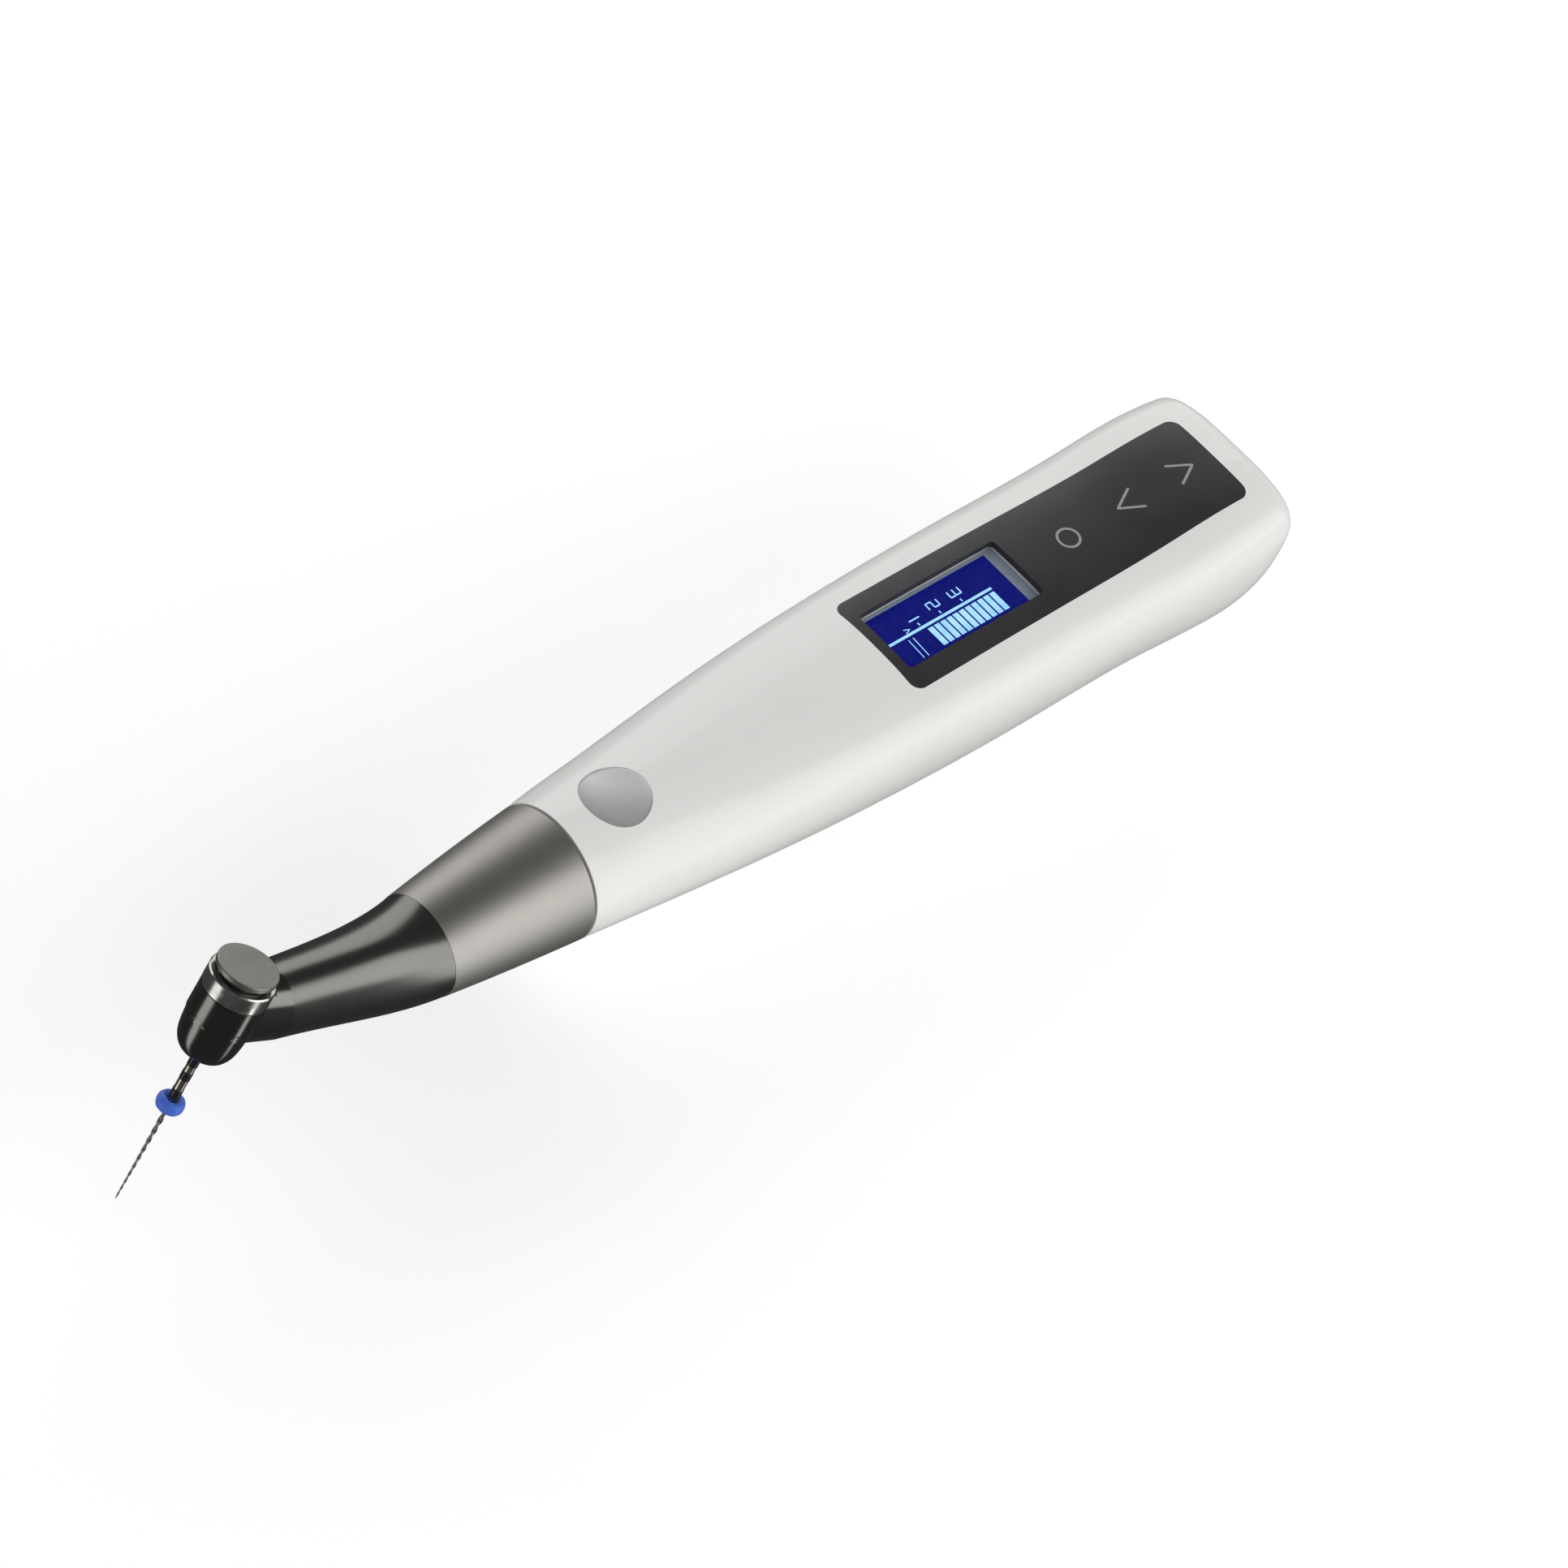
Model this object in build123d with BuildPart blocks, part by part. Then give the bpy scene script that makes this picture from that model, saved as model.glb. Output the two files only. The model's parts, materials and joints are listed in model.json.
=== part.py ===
from build123d import *
import os
from math import cos, pi, radians, sin

# Cordless root-canal handpiece with a built-in apex locator.
# Everything is in millimetres. The row frame has +Z up through the display, +X from the
# head towards the tail, and its origin on the flat of the belly. Inside this file, most
# places are given along the nose axis: x = 0 is the seam between the grey sleeve and the
# white housing, and z = 0 is the axis of the nose, motor and sleeve.

os.makedirs("parts", exist_ok=True)

# ---- Driving dimensions -------------------------------------------------------------
AXIS_HEIGHT = 21.8            # nose axis above the surface the belly rests on
SEAM_X = -92.0                # the sleeve seam in the row frame
SEAM_GAP = 0.15               # each side of the seam

TAIL_X = 136.2                # tail face from the seam
WALL = 1.9                    # housing wall
TAIL_ROUND = 3.0              # rounding of the tail's rim
TAIL_TILT = 13.0              # degrees the tail face leans back at its top
TAIL_PIVOT_Z = 6.2

# x, half width, height of the widest line, top, bottom, upper and lower fullness
BODY_STATIONS = [
    (SEAM_GAP, 10.6, 0.0, 10.6, -10.6, 2.0, 2.0),
    (13.0, 12.0, 0.4, 10.55, -12.0, 2.05, 2.0),
    (27.0, 13.2, 1.2, 10.5, -14.8, 2.2, 1.95),
    (41.0, 14.2, 2.0, 10.45, -17.9, 2.4, 1.85),
    (55.0, 14.8, 2.8, 10.4, -20.6, 2.55, 1.8),
    (70.0, 15.2, 3.3, 10.35, -22.1, 2.6, 1.8),
    (90.0, 15.4, 3.4, 10.3, -22.4, 2.6, 1.8),
    (112.0, 15.5, 3.4, 10.3, -22.4, 2.6, 1.8),
    (TAIL_X, 15.1, 2.9, 10.2, -22.2, 3.2, 1.9),
]

PANEL_FRONT, PANEL_REAR = 61.2, 130.4
PANEL_HALF_FRONT, PANEL_HALF_REAR = 9.2, 8.6
PANEL_THICK = 1.2
SHELF_Z = 7.3                 # underside of the shelf that backs the panel

WINDOW_FRONT, WINDOW_REAR, WINDOW_HALF = 63.0, 90.2, 5.7
SCREEN_FRONT, SCREEN_REAR, SCREEN_HALF = 63.7, 88.3, 5.1
SCREEN_TOP = 8.6
GLASS_THICK = 0.4

KEY_XS = {"key_select": 100.4, "key_down": 112.6, "key_up": 124.0}
KEY_RADIUS = 2.0
KEY_TRAVEL = 0.3

BUTTON_X = 10.6
BUTTON_RADIUS = 5.1
BUTTON_GAP = 0.25
BUTTON_TRAVEL = 0.7

BOARD_Z, BOARD_THICK = 2.2, 1.0
DOOR_FRONT, DOOR_REAR, DOOR_HALF = 63.0, 122.0, 8.0
DOOR_THICK = 2.0
DOOR_SCREW_XS = (66.6, 118.4)

BOARD_POSTS = [(x, y) for x in (95, 118.4) for y in (-8.6, 8.6)]

CELL_RADIUS, CELL_LENGTH, CELL_FRONT, CELL_Z = 9.15, 35.0, 74.5, -9.2
SOCKET_Z, SOCKET_MOUTH, SOCKET_BORE = -4.0, 134.0, 1.75   # takes a 3.5 mm plug
CONTACT_Z, CONTACT_FACE = -12.0, 132.2

MOTOR_RADIUS, MOTOR_FRONT, MOTOR_REAR = 8.0, 32.0, 56.0

GEAR_MODULE = 0.35
SUN_TEETH = PLANET_TEETH = 12
RING_TEETH = SUN_TEETH + 2 * PLANET_TEETH
PLANET_ORBIT = GEAR_MODULE * (SUN_TEETH + PLANET_TEETH) / 2

SPIGOT_RADIUS, SPIGOT_BORE, SPIGOT_TIP = 5.0, 3.9, -17.0
SLEEVE_TIP = -24.0
SLEEVE_REAR_R, SLEEVE_TIP_R = 10.6, 8.0

BEND_X = -27.0                # where the handpiece axis and the neck axis cross
BEND_DEG = 20.0
NECK_LENGTH = 37.18           # from the bend to the head's axis
NECK_BORE = 3.5
SHAFT_BEVEL_R, SHAFT_BEVEL_CONE = 2.6, 90.0 - BEND_DEG / 2
HEAD_BEVEL_R, HEAD_BEVEL_CONE = 2.6, 45.0
BEVEL_TEETH = 12

HEAD_BORE = 3.65
CAP_TOP = 8.0                 # above the neck axis, along the head's axis
CAP_RADIUS = 4.6
CAP_TRAVEL = 0.8
LATCH_LOW, LATCH_TOP = 5.1, 5.6   # the chuck's latch, over the spindle
SHANK_RADIUS = 1.175          # standard latch-type shank
SHANK_TOP, SHANK_FLAT_FROM, SHANK_FLAT = 6.1, 3.6, 0.7
FILE_TIP = -36.2
STOPPER_Z = -17.85


# ---- Places -------------------------------------------------------------------------
def nose(x, y=0.0, z=0.0):
    """A point given along the nose axis, in the row frame."""
    return (SEAM_X + x, y, AXIS_HEIGHT + z)


def station(x, z=0.0):
    """A plane across the handpiece: local x is row Y, local y is row Z."""
    return Plane(origin=nose(x, 0, z), x_dir=(0, 1, 0), z_dir=(1, 0, 0))


def level(z, x=0.0):
    """A horizontal plane at a height above the nose axis."""
    return Plane(origin=nose(x, 0, z))


BEND = radians(BEND_DEG)
HEAD_UP = (sin(BEND), 0, cos(BEND))
NECK_BACK = (cos(BEND), 0, -sin(BEND))
BEND_POINT = nose(BEND_X)
HEAD_POINT = nose(BEND_X - NECK_LENGTH * cos(BEND), 0, NECK_LENGTH * sin(BEND))
HEAD = Plane(origin=HEAD_POINT, x_dir=NECK_BACK, z_dir=HEAD_UP)
NECK = Plane(origin=HEAD_POINT, x_dir=(0, 1, 0), z_dir=NECK_BACK)
NECK_FROM_BEND = Plane(origin=BEND_POINT, x_dir=(0, 1, 0), z_dir=tuple(-v for v in NECK_BACK))
REAR_FROM_BEND = Plane(origin=BEND_POINT, x_dir=(0, 1, 0), z_dir=(1, 0, 0))
NECK_PROFILE = Plane(origin=HEAD_POINT, x_dir=NECK_BACK, z_dir=(0, -1, 0))
NOSE_PROFILE = Plane(origin=nose(0), x_dir=(1, 0, 0), z_dir=(0, -1, 0))
NOSE_AXIS = Axis(nose(0), (1, 0, 0))
AXIS = station(0)
SOCKET = station(0, SOCKET_Z)


def export(builder, name):
    builder.part.label = name
    export_step(builder.part, f"parts/{name}.step")


# ---- Shape helpers ------------------------------------------------------------------
def oval_point(angle, half_width, middle, top, bottom, upper, lower):
    power = upper if sin(angle) >= 0 else lower
    height = top - middle if sin(angle) >= 0 else middle - bottom
    across = abs(cos(angle)) ** (2 / power) * (1 if cos(angle) >= 0 else -1)
    along = abs(sin(angle)) ** (2 / power) * (1 if sin(angle) >= 0 else -1)
    return (half_width * across, middle + height * along)


def body_section(x, shape, inset, tilt=0.0):
    """One egg-shaped section of the handpiece, drawn in from its skin and leant back by a tilt."""
    half_width, middle, top, bottom, upper, lower = shape
    pivot = TAIL_PIVOT_Z if tilt else 0.0
    inner = (half_width - inset, middle - pivot, top - inset - pivot, bottom + inset - pivot, upper, lower)
    lean = radians(tilt)
    plane = Plane(origin=nose(x, 0, pivot), x_dir=(0, 1, 0), z_dir=(cos(lean), 0, -sin(lean)))
    with BuildSketch(plane) as section:
        with BuildLine():
            Spline([oval_point(2 * pi * i / 20, *inner) for i in range(20)], periodic=True)
        make_face()
    return section.sketch


def body_form(inset, start, end):
    """The bar of the handpiece with a rounded tail, drawn in by an inset from its skin."""
    tail_round = TAIL_ROUND - inset * 0.6
    sections = [body_section(max(x, start), shape, inset) for x, *shape in BODY_STATIONS[:-1]]
    for angle in (0, 20, 40, 58, 73, 84):
        x = end - tail_round + tail_round * sin(radians(angle))
        draw_in = inset + tail_round * (1 - cos(radians(angle)))
        sections.append(body_section(x, BODY_STATIONS[-1][1:], draw_in, TAIL_TILT * (angle + 30) / 114))
    return loft(sections)


def on_skin(outline, inward, depth, thickness):
    """The part of a vertical prism between two depths under the skin; inward is -1 or +1 along Z."""
    outer = outer_form.moved(Location((0, 0, inward * depth)))
    inner = outer_form.moved(Location((0, 0, inward * (depth + thickness))))
    return outline & (outer - inner)


def tube(plane, radius, bore, low, high):
    """A plain tube or, with no bore, a rod along a plane's normal."""
    with BuildPart() as piece:
        with BuildSketch(plane.offset(low)):
            Circle(radius)
            if bore:
                Circle(bore, mode=Mode.SUBTRACT)
        extrude(amount=high - low)
    return piece.part


def gear_sketch(teeth, width_share, addendum, dedendum, phase_deg):
    """Outline of a small spur gear, drawn on the sketch plane that is open."""
    pitch = GEAR_MODULE * teeth / 2
    half = pi * GEAR_MODULE / 4 * width_share
    root, tip = pitch - dedendum, pitch + addendum
    Circle(root)
    with Locations(Rotation(0, 0, phase_deg)):
        with PolarLocations(0, teeth):
            Polygon(
                (root - 0.15, -half * 1.45), (tip, -half * 0.5), (tip, half * 0.5), (root - 0.15, half * 1.45),
                align=None,
            )


def bevel_gear(plane, pitch, cone_deg, back, bore, face, phase_deg):
    """A bevel gear whose cones meet at the plane's origin; +z points to its back."""
    cone = radians(cone_deg)
    module = 2 * pitch / BEVEL_TEETH
    outer = pitch / sin(cone)
    addendum, dedendum = 0.42 * module, 0.75 * module
    half = pi * module / 4 * 0.72

    def on_cone(distance, rise):
        return (distance * sin(cone) + rise * cos(cone), distance * cos(cone) - rise * sin(cone))

    inner_r, inner_z = on_cone(outer - face, -dedendum)
    outer_r, outer_z = on_cone(outer, -dedendum)
    with BuildPart() as tooth:
        for distance in (outer - face, outer):
            scale = distance / outer
            centre = (distance * sin(cone), 0, distance * cos(cone))
            along = (sin(cone), 0, cos(cone))
            with BuildSketch(Plane(origin=centre, x_dir=(0, 1, 0), z_dir=along)):
                Polygon(
                    (-half * 0.45 * scale, -addendum * scale), (half * 0.45 * scale, -addendum * scale),
                    (half * 1.5 * scale, dedendum * 1.15), (-half * 1.5 * scale, dedendum * 1.15),
                    align=None,
                )
        loft(ruled=True)
    with BuildPart() as gear:
        with BuildSketch(Plane.XZ):
            Polygon(
                (bore, inner_z), (inner_r, inner_z), (outer_r, outer_z), (outer_r, back), (bore, back),
                align=None,
            )
        revolve(axis=Axis.Z)
        for i in range(BEVEL_TEETH):
            add(tooth.part.moved(Rotation(0, 0, phase_deg + 360 / BEVEL_TEETH * i)))
    return gear.part.moved(plane.location)


outer_form = body_form(0, SEAM_GAP, TAIL_X) - Box(
    400, 60, 40, align=(Align.CENTER, Align.CENTER, Align.MAX)
)
inner_form = body_form(WALL, 3.5, TAIL_X - 2.5)
wall_form = body_form(WALL / 2, 2, TAIL_X - 1.2)

with BuildPart() as panel_outline:
    with BuildSketch(level(4)):
        Polygon(
            (PANEL_FRONT, -PANEL_HALF_FRONT), (PANEL_REAR, -PANEL_HALF_REAR),
            (PANEL_REAR, PANEL_HALF_REAR), (PANEL_FRONT, PANEL_HALF_FRONT), align=None,
        )
    extrude(amount=10)
    fillet(panel_outline.edges().filter_by(Axis.Z), 1.9)

with BuildPart() as door_outline:
    with BuildSketch(level(-26, (DOOR_FRONT + DOOR_REAR) / 2)):
        RectangleRounded(DOOR_REAR - DOOR_FRONT, 2 * DOOR_HALF, 3)
    extrude(amount=16)

with BuildPart() as panel_shelf:
    with BuildSketch(level(SHELF_Z, (PANEL_FRONT + PANEL_REAR) / 2)):
        Rectangle(PANEL_REAR - PANEL_FRONT + 2.4, 22)
    extrude(amount=2.2)
    add(wall_form, mode=Mode.INTERSECT)

with BuildPart() as door_frame:
    with BuildSketch(level(-21, (DOOR_FRONT + DOOR_REAR) / 2)):
        RectangleRounded(DOOR_REAR - DOOR_FRONT + 4, 20, 3)
    extrude(amount=3)
    add(wall_form, mode=Mode.INTERSECT)

# ---- Handpiece housing --------------------------------------------------------------
with BuildPart() as housing_shell:
    add(outer_form)
    add(inner_form, mode=Mode.SUBTRACT)
    add(panel_shelf)
    add(door_frame)
    with BuildSketch(level(BOARD_Z + BOARD_THICK)):
        with Locations(*BOARD_POSTS):
            Circle(2.0)
    extrude(amount=SHELF_Z - BOARD_Z - BOARD_THICK)
    with BuildSketch(level(-19)):
        with Locations(*[(x, 0) for x in DOOR_SCREW_XS]):
            Circle(2.7)
    extrude(amount=4.5)
    add(on_skin(panel_outline.part, -1, 0, PANEL_THICK), mode=Mode.SUBTRACT)
    add(on_skin(door_outline.part, 1, 0, DOOR_THICK), mode=Mode.SUBTRACT)
    with BuildSketch(level(-24, (DOOR_FRONT + DOOR_REAR) / 2)):
        RectangleRounded(DOOR_REAR - DOOR_FRONT - 16, 2 * DOOR_HALF - 3.4, 2)
    extrude(amount=10, mode=Mode.SUBTRACT)
    with BuildSketch(level(-24)):
        with Locations(*[(x, 0) for x in DOOR_SCREW_XS]):
            Circle(0.9)
    extrude(amount=8.5, mode=Mode.SUBTRACT)
    with BuildSketch(level(BOARD_Z)):
        with Locations(*BOARD_POSTS):
            Circle(0.9)
    extrude(amount=4.0, mode=Mode.SUBTRACT)
    with BuildSketch(level(SHELF_Z - 1, (WINDOW_FRONT + WINDOW_REAR) / 2)):
        Rectangle(WINDOW_REAR - WINDOW_FRONT, 2 * WINDOW_HALF)
    extrude(amount=6, mode=Mode.SUBTRACT)
    with BuildSketch(level(SHELF_Z - 1)):
        with Locations(*[(x, 0) for x in KEY_XS.values()]):
            Circle(KEY_RADIUS + 0.2)
    extrude(amount=4, mode=Mode.SUBTRACT)
    with BuildSketch(station(-1)):
        Circle(SPIGOT_RADIUS + 0.05)
    extrude(amount=6, mode=Mode.SUBTRACT)
    with BuildSketch(level(4, BUTTON_X)):
        Circle(BUTTON_RADIUS + BUTTON_GAP)
    extrude(amount=8, mode=Mode.SUBTRACT)
    with BuildSketch(level(2, BUTTON_X)):
        Circle(6.0)
    extrude(amount=6.3, mode=Mode.SUBTRACT)
    with BuildSketch(SOCKET.offset(SOCKET_MOUTH - 4)):
        Circle(3.3)
    extrude(amount=6, mode=Mode.SUBTRACT)
    with BuildSketch(station(CONTACT_FACE - 4, CONTACT_Z)):
        with Locations((-3.5, 0), (3.5, 0)):
            Circle(1.15)
    extrude(amount=6, mode=Mode.SUBTRACT)
export(housing_shell, "housing_shell")

with BuildPart() as belly_cover:
    add(on_skin(door_outline.part, 1, 0, DOOR_THICK))
    with BuildSketch(level(-24)):
        with Locations(*[(x, 0) for x in DOOR_SCREW_XS]):
            Circle(1.05)
    extrude(amount=8, mode=Mode.SUBTRACT)
    with BuildSketch(level(-24)):
        with Locations(*[(x, 0) for x in DOOR_SCREW_XS]):
            Circle(2.0)
    extrude(amount=3.2, mode=Mode.SUBTRACT)
export(belly_cover, "belly_cover")

with BuildPart() as cover_screws:
    with BuildSketch(level(-21.65)):
        with Locations(*[(x, 0) for x in DOOR_SCREW_XS]):
            Circle(1.85)
    extrude(amount=0.85)
    with BuildSketch(level(-20.8)):
        with Locations(*[(x, 0) for x in DOOR_SCREW_XS]):
            Circle(0.85)
    extrude(amount=5.0)
    with BuildSketch(level(-21.65)):
        with Locations(*[(x, 0) for x in DOOR_SCREW_XS]):
            Rectangle(2.4, 0.5)
            Rectangle(0.5, 2.4)
    extrude(amount=0.45, mode=Mode.SUBTRACT)
export(cover_screws, "cover_screws")

# ---- Panel, display and keys --------------------------------------------------------
with BuildPart() as control_panel:
    add(on_skin(panel_outline.part, -1, 0, PANEL_THICK))
    with BuildSketch(level(7, (WINDOW_FRONT + WINDOW_REAR) / 2)):
        RectangleRounded(WINDOW_REAR - WINDOW_FRONT, 2 * WINDOW_HALF, 0.6)
    extrude(amount=5, mode=Mode.SUBTRACT)
export(control_panel, "control_panel")

screen_mid = (SCREEN_FRONT + SCREEN_REAR) / 2
screen_length = SCREEN_REAR - SCREEN_FRONT
window_mid = (WINDOW_FRONT + WINDOW_REAR) / 2
window_length = WINDOW_REAR - WINDOW_FRONT

with BuildPart() as display_bezel:
    with BuildSketch(level(SHELF_Z + 0.1)):
        with Locations((window_mid, 0)):
            Rectangle(window_length - 0.2, 2 * WINDOW_HALF - 0.2)
        with Locations((screen_mid, 0)):
            Rectangle(screen_length, 2 * SCREEN_HALF, mode=Mode.SUBTRACT)
    extrude(amount=SCREEN_TOP - SHELF_Z - 0.1)
export(display_bezel, "display_bezel")

with BuildPart() as display_module:
    with BuildSketch(level(5.0, screen_mid)):
        Rectangle(screen_length + 5.0, 14.0)
    extrude(amount=SHELF_Z - 0.1 - 5.0)
    with BuildSketch(level(SHELF_Z - 0.1, screen_mid)):
        Rectangle(screen_length - 0.1, 2 * SCREEN_HALF - 0.1)
    extrude(amount=SCREEN_TOP - 0.05 - SHELF_Z + 0.1)
export(display_module, "display_module")

with BuildPart() as display_window:
    with BuildSketch(level(SCREEN_TOP, window_mid)):
        Rectangle(window_length - 0.2, 2 * WINDOW_HALF - 0.2)
    extrude(amount=GLASS_THICK)
export(display_window, "display_window")

for key_name, key_x in KEY_XS.items():
    with BuildPart() as key:
        with BuildSketch(level(4.35, key_x)):
            Circle(KEY_RADIUS)
        extrude(amount=4.6)
        with BuildSketch(level(6.35, key_x)):
            Circle(KEY_RADIUS + 0.9)
        extrude(amount=0.5)
    export(key, key_name)

# ---- Circuit board ------------------------------------------------------------------
board_top = BOARD_Z + BOARD_THICK

with BuildPart() as main_board:
    with BuildSketch(level(BOARD_Z)):
        with Locations((94, 0)):
            RectangleRounded(67, 22.6, 2.5)
        with Locations(*BOARD_POSTS):
            Circle(0.95, mode=Mode.SUBTRACT)
    extrude(amount=BOARD_THICK)
export(main_board, "main_board")

with BuildPart() as board_components:
    for x, y, length, width in ((71, 0, 9, 9), (81.5, 3.6, 5, 4), (81.5, -3.6, 6, 3), (88, 0, 3, 8)):
        with BuildSketch(level(board_top, x)):
            with Locations((0, y)):
                Rectangle(length, width)
        extrude(amount=1.1)
export(board_components, "board_components")

with BuildPart() as key_switches:
    with BuildSketch(level(board_top)):
        with Locations(*[(x, 0) for x in KEY_XS.values()]):
            RectangleRounded(4.5, 4.5, 0.5)
    extrude(amount=0.75)
export(key_switches, "key_switches")

with BuildPart() as board_screws:
    with BuildSketch(level(BOARD_Z - 0.9)):
        with Locations(*BOARD_POSTS):
            Circle(1.7)
    extrude(amount=0.9)
    with BuildSketch(level(BOARD_Z)):
        with Locations(*BOARD_POSTS):
            Circle(0.85)
    extrude(amount=3.8)
    with BuildSketch(level(BOARD_Z - 0.9)):
        with Locations(*BOARD_POSTS):
            Rectangle(2.2, 0.45)
            Rectangle(0.45, 2.2)
    extrude(amount=0.4, mode=Mode.SUBTRACT)
export(board_screws, "board_screws")

# ---- Battery ------------------------------------------------------------------------
cell_rear = CELL_FRONT + CELL_LENGTH
CELL_END = station(0, CELL_Z)

with BuildPart() as battery_cell:
    add(tube(CELL_END, CELL_RADIUS, 0, CELL_FRONT, cell_rear))
    add(tube(CELL_END, 3.0, 0, cell_rear, cell_rear + 0.8))
    fillet(battery_cell.edges().filter_by(GeomType.CIRCLE).group_by(SortBy.RADIUS)[-1], 0.6)
export(battery_cell, "battery_cell")

with BuildPart() as battery_contacts:
    add(tube(CELL_END, 4.0, 0, CELL_FRONT - 0.8, CELL_FRONT))
    add(tube(CELL_END, 4.0, 0, cell_rear + 0.8, cell_rear + 1.6))
export(battery_contacts, "battery_contacts")

with BuildPart() as battery_holder:
    add(tube(CELL_END, 9.25, 0, CELL_FRONT - 2.5, CELL_FRONT - 0.8))
    add(tube(CELL_END, 9.25, 0, cell_rear + 1.6, cell_rear + 3.3))
    with BuildSketch(level(-19.3, (CELL_FRONT + cell_rear + 0.8) / 2)):
        Rectangle(CELL_LENGTH + 5.8, 6)
    extrude(amount=0.9)
export(battery_holder, "battery_holder")

# ---- Tail socket and charging contacts ----------------------------------------------
with BuildPart() as probe_socket:
    add(tube(SOCKET, 3.2, 0, 122, SOCKET_MOUTH))
    add(tube(SOCKET, SOCKET_BORE, 0, SOCKET_MOUTH - 10, TAIL_X), mode=Mode.SUBTRACT)
export(probe_socket, "probe_socket")

with BuildPart() as socket_block:
    with BuildSketch(SOCKET.offset(121)):
        RectangleRounded(9, 8.6, 0.8)
    extrude(amount=9)
    add(tube(SOCKET, 3.2, 0, 122, TAIL_X), mode=Mode.SUBTRACT)
export(socket_block, "socket_block")

with BuildPart() as charge_contacts:
    with BuildSketch(station(CONTACT_FACE - 3.2, CONTACT_Z)):
        with Locations((-3.5, 0), (3.5, 0)):
            Circle(1.1)
    extrude(amount=3.2)
export(charge_contacts, "charge_contacts")

# ---- Power button -------------------------------------------------------------------
with BuildPart() as power_button:
    with BuildSketch(level(7.6, BUTTON_X)):
        Circle(BUTTON_RADIUS)
    extrude(amount=5)
    add(outer_form, mode=Mode.INTERSECT)
    with BuildSketch(Plane(origin=nose(BUTTON_X, 10, 18.3), x_dir=(1, 0, 0), z_dir=(0, -1, 0))):
        Circle(9.3)
    extrude(amount=20, mode=Mode.SUBTRACT)
    with BuildSketch(level(7.4, BUTTON_X)):
        Circle(BUTTON_RADIUS + 0.6)
    extrude(amount=0.6)
export(power_button, "power_button")

with BuildPart() as power_switch:
    with BuildSketch(level(4.4, 13)):
        Rectangle(12.5, 8)
    extrude(amount=0.8)
    with BuildSketch(level(5.2, BUTTON_X)):
        RectangleRounded(6, 6, 0.6)
    extrude(amount=1.1)
    with BuildSketch(level(6.3, BUTTON_X)):
        Circle(1.6)
    extrude(amount=0.3)
export(power_switch, "power_switch")

# ---- Nose ---------------------------------------------------------------------------
with BuildPart() as nose_spigot:
    add(tube(AXIS, SPIGOT_RADIUS, SPIGOT_BORE, SPIGOT_TIP, 5.5))
    add(tube(AXIS, 6.4, SPIGOT_BORE, 3.5, 5.5))
    for middle, width, floor in ((-4.0, 0.7, 4.45), (-10.0, 1.4, 4.8), (-14.0, 1.6, 4.6)):
        add(tube(AXIS, 5.2, floor, middle - width / 2, middle + width / 2), mode=Mode.SUBTRACT)
export(nose_spigot, "nose_spigot")

with BuildPart() as nose_o_ring:
    with BuildSketch(NOSE_PROFILE):
        with Locations((-4.0, 4.76)):
            Circle(0.3)
    revolve(axis=NOSE_AXIS)
export(nose_o_ring, "nose_o_ring")

with BuildPart() as nose_contact:
    add(tube(AXIS, 5.0, 4.6, -14.8, -13.2))
export(nose_contact, "nose_contact")

with BuildPart() as output_bearing:
    add(tube(AXIS, SPIGOT_BORE, 1.53, 0, 3))
export(output_bearing, "output_bearing")

# ---- Motor and planetary gearbox ----------------------------------------------------
GEAR_FRONT, GEAR_REAR = 24.0, 27.0

with BuildPart() as gear_ring:
    add(tube(AXIS, 7.6, 0, 20, MOTOR_FRONT))
    add(tube(AXIS, 1.7, 0, 19, 22), mode=Mode.SUBTRACT)
    add(tube(AXIS, 6.85, 0, 21, GEAR_FRONT - 0.3), mode=Mode.SUBTRACT)
    add(tube(AXIS, 6.85, 0, GEAR_REAR + 0.3, MOTOR_FRONT + 1), mode=Mode.SUBTRACT)
    with BuildSketch(AXIS.offset(GEAR_FRONT - 1)):
        gear_sketch(RING_TEETH, 1.3, 0.42, 0.3, 5)
    extrude(amount=5, mode=Mode.SUBTRACT)
export(gear_ring, "gear_ring")

with BuildPart() as motor_cradle:
    add(tube(AXIS, 8.35, 7.6, 24, 29))
    with BuildSketch(level(-11.2, 26.5)):
        Rectangle(5, 8)
    extrude(amount=3.4)
export(motor_cradle, "motor_cradle")

with BuildPart() as motor_can:
    add(tube(AXIS, MOTOR_RADIUS, 0, MOTOR_FRONT, MOTOR_REAR))
    add(tube(AXIS, MOTOR_RADIUS - 0.9, 0, MOTOR_FRONT + 1.2, MOTOR_REAR - 1.2), mode=Mode.SUBTRACT)
    add(tube(AXIS, 2.6, 0, MOTOR_FRONT - 1, MOTOR_REAR + 1), mode=Mode.SUBTRACT)
    fillet(motor_can.edges().filter_by(GeomType.CIRCLE).group_by(SortBy.RADIUS)[-1], 0.5)
export(motor_can, "motor_can")

with BuildPart() as stator_coil:
    add(tube(AXIS, 7.05, 5.2, 35, 53))
export(stator_coil, "stator_coil")

with BuildPart() as motor_bearings:
    add(tube(AXIS, 2.58, 0.78, MOTOR_FRONT + 0.1, MOTOR_FRONT + 2.1))
    add(tube(AXIS, 2.58, 0.78, MOTOR_REAR - 2.1, MOTOR_REAR - 0.1))
export(motor_bearings, "motor_bearings")

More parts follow.
